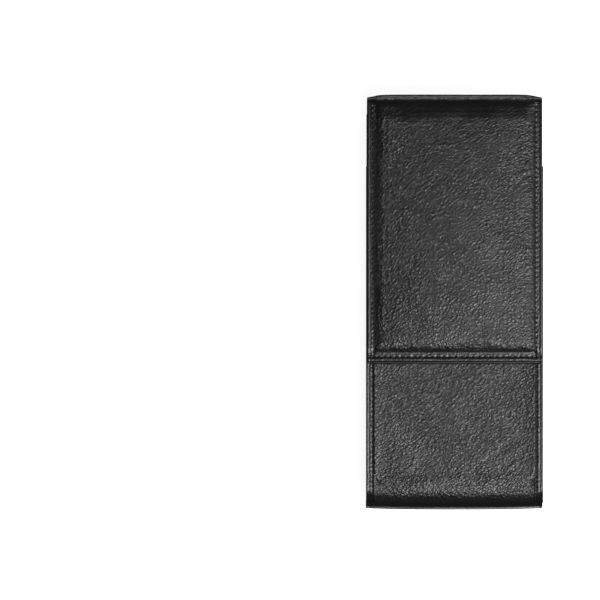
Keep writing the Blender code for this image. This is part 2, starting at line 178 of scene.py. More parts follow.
class Path:
    """A line of straight and round stretches in the YZ plane, with the leather's outer face on its right."""

    def __init__(self, y, z, heading):
        self.end = np.array((y, z), float)
        self.heading = math.radians(heading)
        self.length = 0.0
        self.stretches = []

    def line(self, length):
        self.stretches.append((self.length, self.end, self.heading, 0.0))
        self.end = self.end + length * ahead_of(self.heading)
        self.length += length
        return self

    def turn(self, radius, degrees):
        """Turns left by positive degrees, which is convex on the outer face."""
        angle = math.radians(degrees)
        bend = math.copysign(1 / radius, angle)
        self.stretches.append((self.length, self.end, self.heading, bend))
        centre = self.end + left_of(self.heading) / bend
        self.heading += angle
        self.end = centre - left_of(self.heading) / bend
        self.length += abs(angle) * radius
        return self

    def at(self, along):
        """Places and outward normals at distances along the path."""
        along = np.atleast_1d(np.asarray(along, float))
        starts = np.array([stretch[0] for stretch in self.stretches])
        which = np.clip(np.searchsorted(starts, along, side="right") - 1, 0, len(starts) - 1)
        places = np.empty((len(along), 2))
        normals = np.empty((len(along), 2))
        for i, (start, origin, heading, bend) in enumerate(self.stretches):
            here = which == i
            gone = along[here] - start
            left = left_of(heading + gone * bend)
            normals[here] = -left
            if bend:
                places[here] = origin + left_of(heading) / bend - left / bend
            else:
                places[here] = origin + gone[:, None] * ahead_of(heading)
        return places, normals


def smooth(share):
    """An easing curve from 0 to 1."""
    share = np.clip(share, 0.0, 1.0)
    return share * share * (3 - 2 * share)


def swelling(share):
    """The side of a soft pad from 0 to 1: steep from its crease, and flattening out at its top."""
    share = np.clip(share, 0.0, 1.0)
    return 1 - (1 - smooth(share / 0.5) * 0.12 - share * 0.88) ** 2.0


def round_over(inset, radius):
    """How far a rounded edge has dropped at a distance in from the edge."""
    share = 1 - np.clip(inset / radius, 0.0, 1.0)
    return radius * (1 - np.sqrt(1 - share**2))


def inset_in(half_width, low, high, corner, x, along):
    """Distance inside a rectangle with round corners, as from its nearest edge."""
    across = np.abs(x) - (half_width - corner)
    lengthways = np.abs(along - (low + high) / 2) - ((high - low) / 2 - corner)
    outside = np.hypot(np.maximum(across, 0), np.maximum(lengthways, 0))
    return corner - outside - np.minimum(np.maximum(across, lengthways), 0)


def spaced(length, pitch, fine_zones=(), fine=FINE):
    """Distances from 0 to length at a pitch, closer together inside the fine zones."""
    found = [0.0]
    while found[-1] < length - fine / 2:
        here = found[-1]
        inside = any(low <= here < high for low, high in fine_zones)
        found.append(min(here + (fine if inside else pitch), length))
    return found


EDGE_ROWS = (0.03, 0.09, 0.18, 0.32)


def with_edges(places, low, high, both=(True, True)):
    """Adds the close rows that a rounded edge needs at either end."""
    kept = list(places)
    if both[0]:
        kept = [p for p in kept if p <= low or p > low + EDGE_ROWS[-1] + 0.05]
        kept += [low + row for row in EDGE_ROWS]
    if both[1]:
        kept = [p for p in kept if p >= high or p < high - EDGE_ROWS[-1] - 0.05]
        kept += [high - row for row in EDGE_ROWS]
    return np.array(sorted(kept))


def columns(half_width, fine_width, pitch=COARSE):
    """Places across a skin, fine near its side edges."""
    width = 2 * half_width
    zones = ((0, fine_width), (width - fine_width, width))
    return with_edges(spaced(width, pitch, zones), 0, width) - half_width


def linked(name, data):
    """A new object in the scene, for a mesh, a light or a camera."""
    made = bpy.data.objects.new(name, data)
    bpy.context.scene.collection.objects.link(made)
    return made


def store(mesh, label, values):
    """Keeps a number or a vector for each point of a mesh."""
    values = np.asarray(values, np.float32)
    kind, field = ("FLOAT_VECTOR", "vector") if values.ndim == 2 else ("FLOAT", "value")
    mesh.attributes.new(label, kind, "POINT").data.foreach_set(field, values.ravel())


def add_mesh(name, verts, faces, attributes=(), flat_faces=()):
    """A mesh object from points in millimetres, with its point attributes."""
    mesh = bpy.data.meshes.new(name)
    mesh.from_pydata([tuple(v) for v in np.asarray(verts) * MM], [], faces)
    mesh.shade_smooth()
    for i in flat_faces:
        mesh.polygons[i].use_smooth = False
    for label, values in attributes:
        store(mesh, label, values)
    return linked(name, mesh)


def ring_faces(rings, count, first=0, closed=True):
    """Quads between one ring of points and the next, each ring joined round to its start if closed."""
    faces = []
    for near in range(first, first + (rings - 1) * count, count):
        for i in range(count if closed else count - 1):
            j = (i + 1) % count
            faces.append((near + i, near + j, near + count + j, near + count + i))
    return faces


class Skin:
    """A sheet that follows a path: its outer relief is a function of the places across and along it."""

    def __init__(
        self,
        path,
        half_width,
        relief,
        under=None,
        sway=None,
        thickness=LEATHER,
        round_ends=(False, False),
        end_round=EDGE_ROUND,
    ):
        self.path = path
        self.half_width = half_width
        self.relief = relief
        self.under = under or relief
        self.sway = sway
        self.thickness = thickness
        self.round_ends = round_ends
        self.end_round = end_round

    def half_at(self, along):
        """Half the width, drawn in where a free corner is round."""
        near = np.full_like(along, FREE_CORNER)
        if self.round_ends[0]:
            near = np.minimum(near, along)
        if self.round_ends[1]:
            near = np.minimum(near, self.path.length - along)
        near = np.clip(near, 0, FREE_CORNER)
        return self.half_width - FREE_CORNER + np.sqrt(FREE_CORNER**2 - (FREE_CORNER - near) ** 2)

    def place(self, x, along, lift=0.0):
        """The point at a height over the outer face."""
        base, normal = self.path.at([along])
        height = float(self.relief(np.array([[x]]), np.array([[along]]))[0, 0]) + lift
        y, z = base[0] + normal[0] * height
        if self.sway:
            y += float(self.sway(x, along))
        return Vector((x, y, z))

    def normal(self, along):
        _, normal = self.path.at([along])
        return Vector((0, *normal[0]))

    def build(self, name, across, rows, shut=(True, True), grain=1.0, flat_shift=0.0, calm=None):
        """Lofts the sheet: one closed loop for each row, its outer side fine and its inner side coarse.

        calm gives the share of the grain that is left where the leather is stretched.
        """
        base, normals = self.path.at(rows)
        half = self.half_at(rows)
        x = across[None, :] * (half / self.half_width)[:, None]
        along = np.repeat(rows[:, None], len(across), axis=1)
        inset = half[:, None] - np.abs(x)
        if shut[0]:
            inset = np.minimum(inset, along)
        if shut[1]:
            inset = np.minimum(inset, self.path.length - along)
        drop = round_over(inset, EDGE_ROUND)
        if shut[1]:
            drop = np.maximum(drop, round_over(self.path.length - along, self.end_round))
        outer = self.relief(x, along) - drop

        inner_share = self.inner_columns()
        inner_x = inner_share[None, :] * half[:, None]
        inner_along = np.repeat(rows[:, None], len(inner_share), axis=1)
        side = half[:, None] - np.abs(inner_x)
        inner = self.under(inner_x * 0.999, inner_along) - self.thickness
        inner = inner + INNER_ROUND * (side < 0.01)
        for end, here in ((0, shut[0]), (-1, shut[1])):
            if here:
                inner[end] += INNER_ROUND

        x_all = np.concatenate((x, inner_x), axis=1)
        height = np.concatenate((outer, inner), axis=1)
        along_all = np.concatenate((along, inner_along), axis=1)
        y = base[:, None, 0] + normals[:, None, 0] * height
        if self.sway:
            y = y + self.sway(x_all, along_all)
        z = base[:, None, 1] + normals[:, None, 1] * height
        verts = np.stack((x_all, y, z), axis=2).reshape(-1, 3)
        count = x_all.shape[1]
        faces = ring_faces(len(rows), count)
        flat_faces = []
        if shut[0]:
            flat_faces.append(len(faces))
            faces.append(tuple(range(count - 1, -1, -1)))
        if shut[1]:
            flat_faces.append(len(faces))
            last = (len(rows) - 1) * count
            faces.append(tuple(last + i for i in range(count)))

        flat = np.stack((x_all, along_all + flat_shift, 0 * x_all), axis=2).reshape(-1, 3)
        stretched = calm(x, along) if calm else 1.0
        on_face = smooth((inset - EDGE_ROUND) / 0.8) * grain * stretched
        masks = np.concatenate((on_face, 0 * inner), axis=1).ravel()
        edges = np.concatenate((1 - smooth((inset - 0.06) / 0.3), np.where(side < 0.01, 1.0, 0.0)), axis=1)
        attributes = (("flat", flat), ("grain", masks), ("edge", edges.ravel()))
        return add_mesh(name, verts, faces, attributes, flat_faces)

    def inner_columns(self):
        """The few places across the inner side, from right to left, as shares of the half width."""
        half = self.half_width
        marks = [half, half - 0.25, half - RIM, half - RIM - 2.0, half - RIM - 4.0, half / 2]
        marks = marks + [0.0] + [-mark for mark in reversed(marks)]
        return np.array(marks) / half


# --- Relief of the leather ---


def unevenness(x, along, size, depth, seed):
    """A slow random swell of the surface, the same on each run."""
    low_x, high_x = float(x.min()), float(x.max())
    low_s, high_s = float(along.min()), float(along.max())
    nx = max(2, int((high_x - low_x) / (size / 4)) + 2)
    ns = max(2, int((high_s - low_s) / (size / 4)) + 2)
    grid_x = np.linspace(low_x, high_x, nx)
    grid_s = np.linspace(low_s, high_s, ns)
    field = np.array([[noise.noise((u / size, v / size, seed)) for u in grid_x] for v in grid_s])
    return depth * sample(field, grid_x, grid_s, x, along)


def sample(field, grid_x, grid_s, x, along):
    """Smooth bilinear reading of a field on a grid."""
    u = np.clip((x - grid_x[0]) / max(grid_x[-1] - grid_x[0], 1e-9), 0, 1) * (len(grid_x) - 1)
    v = np.clip((along - grid_s[0]) / max(grid_s[-1] - grid_s[0], 1e-9), 0, 1) * (len(grid_s) - 1)
    i = np.clip(u.astype(int), 0, len(grid_x) - 2)
    j = np.clip(v.astype(int), 0, len(grid_s) - 2)
    fu = smooth(u - i)
    fv = smooth(v - j)
    near = field[j, i] * (1 - fu) + field[j, i + 1] * fu
    far = field[j + 1, i] * (1 - fu) + field[j + 1, i + 1] * fu
    return near * (1 - fv) + far * fv


def stitch_line(distance, along, start, pitch, on):
    """The groove that a seam pulls into the leather, with a pit at each hole."""
    groove = GROOVE_DEPTH * np.exp(-((distance / GROOVE_WIDTH) ** 2))
    phase = (along - start) / pitch
    to_hole = (phase - np.round(phase)) * pitch
    pits = PIT_DEPTH * np.exp(-((distance**2 + to_hole**2) / PIT_RADIUS**2))
    return (groove + pits) * on


def crown(share_x, share_s):
    """A shallow dome over a panel, from its middle to its sides."""
    return np.clip(1 - share_x**2, 0, 1) * np.clip(1 - share_s**2, 0, 1)


def wrinkle(x, along, start, end, width, depth):
    """One soft crease between two places on the leather."""
    start, end = np.array(start), np.array(end)
    direction = end - start
    length = np.hypot(*direction)
    direction = direction / length
    u = (x - start[0]) * direction[0] + (along - start[1]) * direction[1]
    v = (x - start[0]) * -direction[1] + (along - start[1]) * direction[0]
    v = v - 0.6 * np.sin(u / length * math.pi * 1.6)
    fade = smooth(u / (0.3 * length)) * smooth((length - u) / (0.3 * length))
    return -depth * np.exp(-((v / width) ** 2)) * fade


# --- Node trees ---


class Nodes:
    """Short calls for building a shader or geometry node tree."""

    def __init__(self, tree):
        self.tree = tree

    def add(self, kind, sockets=None, **settings):
        node = self.tree.nodes.new(kind)
        for key, value in settings.items():
            setattr(node, key, value)
        for key, value in (sockets or {}).items():
            self.feed(node.inputs[key], value)
        return node

    def feed(self, socket, value):
        if isinstance(value, bpy.types.NodeSocket):
            self.tree.links.new(value, socket)
        else:
            socket.default_value = value

    def math(self, operation, a, b=0.0, clamp=False):
        return self.add("ShaderNodeMath", {0: a, 1: b}, operation=operation, use_clamp=clamp).outputs[0]

    def times(self, a, b):
        return self.math("MULTIPLY", a, b)

    def plus(self, a, b):
        return self.math("ADD", a, b)

    def vector(self, operation, a, b=(0.0, 0.0, 0.0)):
        return self.add("ShaderNodeVectorMath", {0: a, 1: b}, operation=operation).outputs[0]

    def turned(self, place, degrees):
        sockets = {"Vector": place, "Angle": math.radians(degrees)}
        return self.add("ShaderNodeVectorRotate", sockets, rotation_type="Z_AXIS").outputs[0]

    def remap(self, value, low, high, to_low=0.0, to_high=1.0, smoothly=True):
        """Maps a range of values onto another and stays inside it."""
        kind = "SMOOTHSTEP" if smoothly else "LINEAR"
        sockets = {"Value": value, "From Min": low, "From Max": high, "To Min": to_low, "To Max": to_high}
        return self.add("ShaderNodeMapRange", sockets, interpolation_type=kind).outputs[0]

    def noise(self, place, scale, detail=2.0, roughness=0.5, output="Fac"):
        sockets = {"Vector": place, "Scale": scale, "Detail": detail, "Roughness": roughness}
        return self.add("ShaderNodeTexNoise", sockets).outputs[output]

    def voronoi(self, place, scale, feature="F1", randomness=1.0):
        sockets = {"Vector": place, "Scale": scale, "Randomness": randomness}
        return self.add("ShaderNodeTexVoronoi", sockets, feature=feature).outputs["Distance"]

    def wave(self, place, scale, direction, distortion, detail=1.5, detail_scale=1.4):
        """Slightly uneven bands across one direction."""
        sockets = {"Vector": place, "Scale": scale, "Distortion": distortion}
        sockets.update({"Detail": detail, "Detail Scale": detail_scale})
        kind = {"wave_type": "BANDS", "bands_direction": direction}
        return self.add("ShaderNodeTexWave", sockets, **kind).outputs["Fac"]

    def attribute(self, name, output="Fac"):
        """What a piece's mesh stores at each point."""
        return self.add("ShaderNodeAttribute", attribute_name=name).outputs[output]

    def mixed(self, first, second, share):
        """Two values added, the first at a share and the second at the rest of it."""
        return self.plus(self.times(first, share), self.times(second, 1 - share))

    def surface(self, shader, colour, roughness, height, depth=None):
        """Feeds a shader its colour and roughness, and a bump from a height and its depth in millimetres."""
        self.feed(shader.inputs["Base Color"], colour)
        self.feed(shader.inputs["Roughness"], roughness)
        relief = self.times(height, depth) if depth else height
        bump = self.add("ShaderNodeBump", {"Height": relief, "Distance": MM, "Strength": 1.0})
        self.feed(shader.inputs["Normal"], bump.outputs["Normal"])

    def blend(self, share, dark, light):
        """A colour between two, by a share."""
        ramp = self.add("ShaderNodeValToRGB", {"Fac": share})
        ramp.color_ramp.elements[0].color = (*dark, 1.0)
        ramp.color_ramp.elements[1].color = (*light, 1.0)
        return ramp.outputs["Color"]


def pebbles(nodes, flat, creased=True):
    """Height of the pebbled grain at flat leather places in mm: 0 in a crease and 1 on a pebble.

    Without its creases the grain is smooth enough for the mesh's own points to carry.
    """
    moved = flat
    for scale, reach in ((0.7, 0.4), (0.075, 4.0)):
        warp = nodes.noise(flat, scale, output="Color")
        warp = nodes.vector("SUBTRACT", warp, (0.5, 0.5, 0.5))
        moved = nodes.vector("ADD", moved, nodes.vector("MULTIPLY", warp, (reach, reach, 0.0)))
    cells = nodes.vector("MULTIPLY", nodes.turned(moved, GRAIN_TURN), (0.74 / CELL, 1.2 / CELL, 0.0))
    near = nodes.times(nodes.voronoi(cells, 1.0, "F1", 0.8), 1.25)
    height = nodes.math("SUBTRACT", 1.0, nodes.times(near, near), clamp=True)
    if creased:
        edge = nodes.voronoi(cells, 1.0, "DISTANCE_TO_EDGE", 0.8)
        flank = nodes.remap(edge, 0.0, 0.2)
        height = nodes.mixed(height, flank, 0.6)
    patches = nodes.noise(flat, 0.11, detail=1.0)
    amount = nodes.remap(patches, 0.3, 0.6, 0.72, 1.0)
    return nodes.plus(nodes.times(nodes.math("SUBTRACT", height, 1.0), amount), 1.0)


def grain_group():
    """Geometry nodes that press the grain into a skin, inwards from its smooth face."""
    group = bpy.data.node_groups.new("grain_relief", "GeometryNodeTree")
    group.interface.new_socket("Geometry", in_out="INPUT", socket_type="NodeSocketGeometry")
    group.interface.new_socket("Geometry", in_out="OUTPUT", socket_type="NodeSocketGeometry")
    nodes = Nodes(group)
    source = nodes.add("NodeGroupInput")
    target = nodes.add("NodeGroupOutput")
    flat = nodes.add("GeometryNodeInputNamedAttribute", {"Name": "flat"}, data_type="FLOAT_VECTOR")
    mask = nodes.add("GeometryNodeInputNamedAttribute", {"Name": "grain"}, data_type="FLOAT")
    height = pebbles(nodes, flat.outputs["Attribute"], creased=False)
    depth = nodes.times(nodes.math("SUBTRACT", height, 1.0), PRESSED_DEPTH * MM)
    depth = nodes.times(depth, mask.outputs["Attribute"])
    normal = nodes.add("GeometryNodeInputNormal").outputs["Normal"]
    push = nodes.add("ShaderNodeVectorMath", {0: normal, "Scale": depth}, operation="SCALE").outputs[0]
    moved = nodes.add("GeometryNodeSetPosition", {"Geometry": source.outputs[0], "Offset": push})
    nodes.feed(target.inputs[0], moved.outputs["Geometry"])
    return group


def applied(piece):
    """Applies a piece's modifiers, so that its mesh is final."""
    graph = bpy.context.evaluated_depsgraph_get()
    final = bpy.data.meshes.new_from_object(piece.evaluated_get(graph), depsgraph=graph)
    final.name = piece.name
    old = piece.data
    piece.modifiers.clear()
    piece.data = final
    bpy.data.meshes.remove(old)
    return piece


def capped(piece):
    """Closes the end that a skin leaves open, with one flat face, after its surface is final."""
    bm = bmesh.new()
    bm.from_mesh(piece.data)
    border = [edge for edge in bm.edges if edge.is_boundary]
    for face in bmesh.ops.holes_fill(bm, edges=border, sides=0)["faces"]:
        face.smooth = False
    bm.to_mesh(piece.data)
    bm.free()
    return piece


GRAIN = grain_group()


def grained(piece):
    """Presses the leather's grain into a piece's mesh."""
    relief = piece.modifiers.new("grain", "NODES")
    relief.node_group = GRAIN
    return applied(piece)


def new_material(name):
    """An empty material with its output, shader and node helper."""
    made = bpy.data.materials.new(name)
    made.use_nodes = True
    shader = made.node_tree.nodes["Principled BSDF"]
    return made, Nodes(made.node_tree), shader


def flat_attribute(nodes):
    """The flat places that a skin stores, in millimetres."""
    return nodes.attribute("flat", "Vector")


def object_millimetres(nodes):
    """Places in the object's own frame, in millimetres."""
    place = nodes.add("ShaderNodeTexCoord").outputs["Object"]
    return nodes.vector("MULTIPLY", place, (1 / MM, 1 / MM, 1 / MM))


def leather_material():
    """Black pebbled nappa: glossy pebbles, duller creases, fine pores, and smooth painted edges."""
    made, nodes, shader = new_material("black_nappa")
    flat = flat_attribute(nodes)
    height = pebbles(nodes, flat)
    pores = nodes.noise(flat, 3.4, detail=3.0, roughness=0.6)
    tint = nodes.noise(flat, 0.06, detail=3.0)
    # The colour is darker in the grain's creases and lighter on its pebbles, which is painted shade, mixed
    # with a slow random tone.
    colour = nodes.blend(nodes.mixed(height, tint, 0.6), (0.0009, 0.0009, 0.001), (0.0034, 0.0034, 0.0036))
    rubbed = nodes.remap(nodes.noise(flat, 0.16), 0.3, 0.7, -0.035, 0.035)
    gloss = nodes.plus(nodes.remap(height, 0.1, 0.9, 0.48, 0.31), rubbed)
    relief = nodes.plus(nodes.times(height, GRAIN_DEPTH), nodes.times(pores, PORE_DEPTH))
    mask = nodes.attribute("grain")
    painted = nodes.remap(nodes.attribute("edge"), 0.45, 0.95)
    gloss = nodes.add("ShaderNodeMix", {0: mask, 2: SMOOTH_LEATHER, 3: gloss}).outputs[0]
    gloss = nodes.add("ShaderNodeMix", {0: painted, 2: gloss, 3: SMOOTH_LEATHER}).outputs[0]
    nodes.surface(shader, colour, gloss, nodes.times(relief, mask))
    shader.inputs["IOR"].default_value = 1.45
    return made


def cloth_material(name, flat_of):
    """Black lining twill: diagonal ribs crossed by the weft, a soft sheen, rubbed patches and slubs."""
    made, nodes, shader = new_material(name)
    flat = flat_of(nodes)
    ribs = nodes.wave(nodes.turned(flat, TWILL_TURN), TWILL_RIBS, "X", 0.9)
    height = nodes.mixed(ribs, nodes.wave(flat, TWILL_WEFT, "Y", 0.5), 0.68)
    rubbed = nodes.remap(nodes.noise(flat, 0.09, detail=4.0, roughness=0.62), 0.32, 0.68)
    slubs = nodes.noise(nodes.vector("MULTIPLY", flat, (0.16, 2.4, 1.0)), 1.0)
    slubs = nodes.remap(slubs, 0.58, 0.74)
    shade = nodes.plus(nodes.times(height, 0.45), nodes.times(rubbed, 0.4))
    shade = nodes.plus(shade, nodes.times(slubs, 0.15))
    # The colour is lighter on the twill's ribs and darker between them, which is painted shade; the rubbed
    # patches and slubs add real lighter tone.
    colour = nodes.blend(shade, (0.003, 0.003, 0.0033), (0.042, 0.042, 0.044))
    relief = nodes.plus(nodes.times(height, 0.12), nodes.times(slubs, 0.04))
    nodes.surface(shader, colour, nodes.remap(shade, 0.0, 1.0, 0.94, 0.68), relief)
    shader.inputs["Sheen Weight"].default_value = 0.12
    shader.inputs["Sheen Roughness"].default_value = 0.5
    return made


def board_material():
    """Black-dyed pressed board with mottled pulp and stray fibres."""
    made, nodes, shader = new_material("pressed_board")
    place = object_millimetres(nodes)
    pulp = nodes.noise(place, 0.5, detail=6.0, roughness=0.65)
    fibres = nodes.noise(nodes.vector("MULTIPLY", place, (0.4, 3.0, 3.0)), 1.0, detail=3.0)
    shade = nodes.mixed(pulp, fibres, 0.6)
    colour = nodes.blend(shade, (0.02, 0.019, 0.018), (0.075, 0.07, 0.064))
    nodes.surface(shader, colour, nodes.remap(pulp, 0.2, 0.8, 0.95, 0.78), shade, 0.03)
    return made


def foam_material():
    """Charcoal foam with open cells."""
    made, nodes, shader = new_material("open_foam")
    place = object_millimetres(nodes)
    height = nodes.mixed(nodes.voronoi(place, 2.6, "F1"), nodes.voronoi(place, 1.1, "F1"), 0.7)
    # The colour is darker in the hollows of the cells, which is painted shade.
    colour = nodes.blend(height, (0.02, 0.02, 0.021), (0.12, 0.12, 0.122))
    nodes.surface(shader, colour, nodes.remap(height, 0.0, 0.8, 0.98, 0.85), height, 0.15)
    return made


def thread_material():
    """Bonded black thread: two plies twisted round each other, with a waxy gloss."""
    made, nodes, shader = new_material("waxed_thread")
    place = flat_attribute(nodes)
    plies = nodes.wave(place, 0.9, "DIAGONAL", 0.2, detail=0.0, detail_scale=1.0)
    shade = nodes.mixed(plies, nodes.noise(place, 5.0), 0.7)
    # The colour is darker between the plies and lighter on them, which is painted shade, with a fine random
    # tone.
    colour = nodes.blend(shade, (0.0015, 0.0015, 0.0015), (0.007, 0.007, 0.0073))
    nodes.surface(shader, colour, nodes.remap(shade, 0.0, 1.0, 0.72, 0.52), shade, 0.05)
    return made


def steel_material():
    """Nickel-plated steel with turned scratches and light tarnish."""
    made, nodes, shader = new_material("plated_steel")
    place = object_millimetres(nodes)
    scratches = nodes.noise(nodes.vector("MULTIPLY", place, (0.5, 9.0, 0.5)), 1.0, detail=4.0)
    colour = nodes.blend(nodes.noise(place, 0.35, detail=3.0), (0.38, 0.37, 0.35), (0.62, 0.62, 0.61))
    nodes.surface(shader, colour, nodes.remap(scratches, 0.3, 0.7, 0.22, 0.42), scratches, 0.004)
    shader.inputs["Metallic"].default_value = 1.0
    return made


NAPPA = leather_material()
TWILL = cloth_material("lining_twill", flat_attribute)
TWILL_BOARD = cloth_material("lining_twill_on_board", object_millimetres)
BOARD = board_material()
FOAM = foam_material()
THREAD = thread_material()
STEEL = steel_material()


def finish(piece, material):
    """Gives a piece its material."""
    piece.data.materials.clear()
    piece.data.materials.append(material)
    return piece


# --- The back and the lower spine ---


BACK_PATH = Path(Y_BOTTOM, RISE, 0)
BACK_PATH.line(BACK_CENTRE[0] - Y_BOTTOM).turn(BACK_FOLD - RISE, 90).line(MID_SPINE - BACK_CENTRE[1])
BACK_FLAT = BACK_CENTRE[0] - Y_BOTTOM


def back_relief(x, along):
    """The back's pressed panel inside its sewn rim, running on round the fold into the spine."""
    far = BACK_PATH.length + 50
    inset = inset_in(TOP_HALF - RIM, RIM, far, PANEL_CORNER, x, along)
    width = PANEL_STEP + smooth((along - BACK_FLAT) / 8.0) * (FLAP_SLOPE - PANEL_STEP)
    raised = RISE * smooth(inset / width)
    on_rim = (along > RIM - 0.5) & (along < BACK_FLAT)
    seam = stitch_line(np.abs(x) - (TOP_HALF - BACK_SEAM), along, RIM, SIDE_PITCH, on_rim)
    swell = unevenness(x, along, 22.0, 0.05, 3.1) * smooth(inset / 6.0) * smooth((BACK_FLAT - along) / 10)
    return raised - seam - np.abs(swell) - back_skive(along)


def back_skive(along):
    return FOLD_SKIVE * smooth((along - BACK_FLAT + 2.0) / 4.0)


def back_under(x, along):
    """The inner side of the back's leather, which skiving leaves as it is."""
    return back_relief(x, along) + back_skive(along)


def top_bow(x):
    """The bow of the spine, seen from above."""
    return TOP_BOW * (1 - np.abs(x / TOP_HALF) ** 9)


def bottom_bow(x, half_width):
    return BOTTOM_BOW * (1 - np.abs(x / half_width) ** 3)


def back_sway(x, along):
    """The bow of the bottom edge and of the spine, seen from above."""
    spine = top_bow(x) * smooth((along - BACK_FLAT) / 3.0)
    return spine - bottom_bow(x, TOP_HALF) * smooth(1 - along / 12.0)


BACK = Skin(BACK_PATH, TOP_HALF, back_relief, back_under, back_sway, round_ends=(True, False))


def back_piece():
    """The back's leather with the lower half of the spine, turned round the back fold."""
    rows = spaced(BACK_PATH.length, COARSE, ((0, 4.6), (BACK_FLAT - 0.4, BACK_FLAT + 4.6)), fine=FINE)
    rows = with_edges(rows, 0, BACK_PATH.length, (True, False))
    piece = BACK.build("back_leather_skin", columns(TOP_HALF, 4.2), rows, shut=(True, False), flat_shift=400)
    capped(grained(piece))
    finish(piece, NAPPA)
    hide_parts("back_leather", "spine_leather")
    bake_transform(piece)


# --- The flap and the upper spine ---


FLAP_PATH = Path(Y_TOP - RISE, MID_SPINE, 90)
FLAP_PATH.line(FLAP_CENTRE[1] - MID_SPINE).turn(FLAP_FOLD - RISE, 90).line(FLAP_CENTRE[0] - Y_FLAP_EDGE)
FOLD_END = FLAP_PATH.length - (FLAP_CENTRE[0] - Y_FLAP_EDGE)
PAD_GRID = (30, 48)
SIM_SCALE = 100
SIM_FRAMES = 20
PAD_PRESSURE = 4.0


def pad_swell():
    """Heights of the flap's cover, pinned round its margin and swollen by the foam: 0 to 1 on a grid.

    The cover is a cloth simulated at a hundred times its size, which is the size that the solver suits.
    """
    nx, ny = PAD_GRID
    width = 2 * (TOP_HALF - FLAP_MARGIN)
    length = FLAP_PATH.length - FOLD_END - FLAP_MARGIN
    along = (np.arange(ny) / (ny - 1) - 0.5) * length
    across = (np.arange(nx) / (nx - 1) - 0.5) * width
    verts = [(x * SIM_SCALE, y * SIM_SCALE, 0.0) for y in along for x in across]
    cover = add_mesh("pad_cover_sim", verts, ring_faces(ny, nx, closed=False))
    pins = cover.vertex_groups.new(name="pins")
    border = [j * nx + i for j in range(ny) for i in range(nx) if i in (0, nx - 1) or j in (0, ny - 1)]
    pins.add(border, 1.0, "REPLACE")
    cloth = cover.modifiers.new("cloth", "CLOTH")
    cloth.settings.vertex_group_mass = "pins"
    cloth.settings.use_pressure = True
    cloth.settings.uniform_pressure_force = PAD_PRESSURE
    cloth.settings.effector_weights.gravity = 0
    cloth.settings.tension_stiffness = 15
    cloth.settings.bending_stiffness = 2
    cloth.point_cache.frame_end = SIM_FRAMES
    scene = bpy.context.scene
    for number in range(1, SIM_FRAMES + 1):
        scene.frame_set(number)
    swollen = cover.evaluated_get(bpy.context.evaluated_depsgraph_get()).data
    heights = np.array([v.co.z for v in swollen.vertices]).reshape(ny, nx)
    scene.frame_set(1)
    bpy.data.meshes.remove(cover.data)
    return np.clip(heights / max(float(heights.max()), 1e-6), 0, 1)


PAD_SWELL = pad_swell()
PAD_INNER = TOP_HALF - FLAP_MARGIN
PAD_GRID_X = np.linspace(-PAD_INNER, PAD_INNER, PAD_GRID[0])
PAD_GRID_S = np.linspace(FOLD_END, FLAP_PATH.length - FLAP_MARGIN, PAD_GRID[1])
PAD_START = -60.0  # far enough before the fold for the pad's outline to have no end there


def pad_inset(x, along):
    """Distance inside the foot of the pad."""
    return inset_in(PAD_INNER, PAD_START, FLAP_PATH.length - FLAP_END_MARGIN, FLAP_CORNER, x, along)


def top_climb(along):
    """The pad's long climb from the fold, from 0 to 1."""
    return swelling((along - FOLD_END + TOP_LEAD) / (TOP_LEAD + TOP_SLOPE))


def flap_calm(x, along):
    """The grain is stretched shallow round the fold and over the pad's slopes."""
    over_fold = smooth((FOLD_END + TOP_SLOPE + 6.0 - along) / 11.0)
    over_fold = over_fold * smooth((along - FOLD_END + 8.0) / 2.0)
    on_pad = smooth(pad_inset(x, along) / 1.5)
    return (1 - 0.6 * over_fold) * (MARGIN_GRAIN + (1 - MARGIN_GRAIN) * on_pad)


def edge_bead(inset):
    """The raised line that edge creasing leaves just inside a cut edge, with its groove inside it."""
    bead = BEAD_HEIGHT * np.exp(-(((inset - BEAD_INSET) / BEAD_WIDTH) ** 2))
    crease = BEAD_HEIGHT * np.exp(-(((inset - BEAD_INSET - 2.4 * BEAD_WIDTH) / BEAD_WIDTH) ** 2))
    return bead - crease


# Short creases where the flap flexes, each from one place to another with its width and depth
WRINKLE_STARTS = [FOLD_END + 13.0 + 1.5 * i for i in range(6)]
FLAP_WRINKLES = [((32.0, start), (26.0, start + 2.5), 0.38, 0.17) for start in WRINKLE_STARTS]
FLAP_WRINKLES += [
    ((32.0, FOLD_END + 27), (22.0, FOLD_END + 32), 0.7, 0.12),
    ((32.0, FOLD_END + 7), (27.0, FOLD_END + 9), 0.4, 0.12),
    ((-32.0, FOLD_END + 12), (-25.0, FOLD_END + 9), 0.5, 0.10),
    ((-32.0, FOLD_END + 34), (-23.0, FOLD_END + 30), 0.7, 0.08),
]


def margin_dip(along):
    """The flap's free margin sinks from its edge to the foot of the pad."""
    inset = FLAP_PATH.length - along
    return MARGIN_DIP * np.clip((inset - 1.0) / 2.5, 0, 1) * smooth((FLAP_END_MARGIN + 2.0 - inset) / 2.0)


